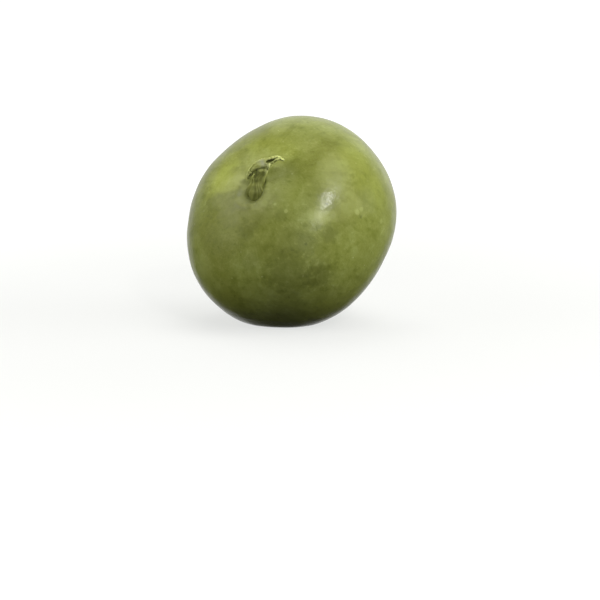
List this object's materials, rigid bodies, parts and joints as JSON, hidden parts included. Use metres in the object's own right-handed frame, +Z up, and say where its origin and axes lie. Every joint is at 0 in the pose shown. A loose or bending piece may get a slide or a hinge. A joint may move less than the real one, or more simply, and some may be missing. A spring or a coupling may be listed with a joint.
{
  "type": "round gourd",
  "caption": "Round green gourd picked whole, lying on its side, with its short ribbed stem and a stub of vine across the stem's end.",
  "frame": {"origin": "on the small flat spot that the fruit lies on, straight under the fruit's centre and its weight", "axes": "+Z up from the surface it lies on, -Y the front; the fruit's core points up to the front left, to the stem"},
  "size_m": [0.1389, 0.1297, 0.136],
  "materials": {
    "skin": "satin",
    "stem": "matte"
  },
  "bodies": {
    "root": {"fruit": "skin", "stem": "stem"}
  },
  "joints": []
}
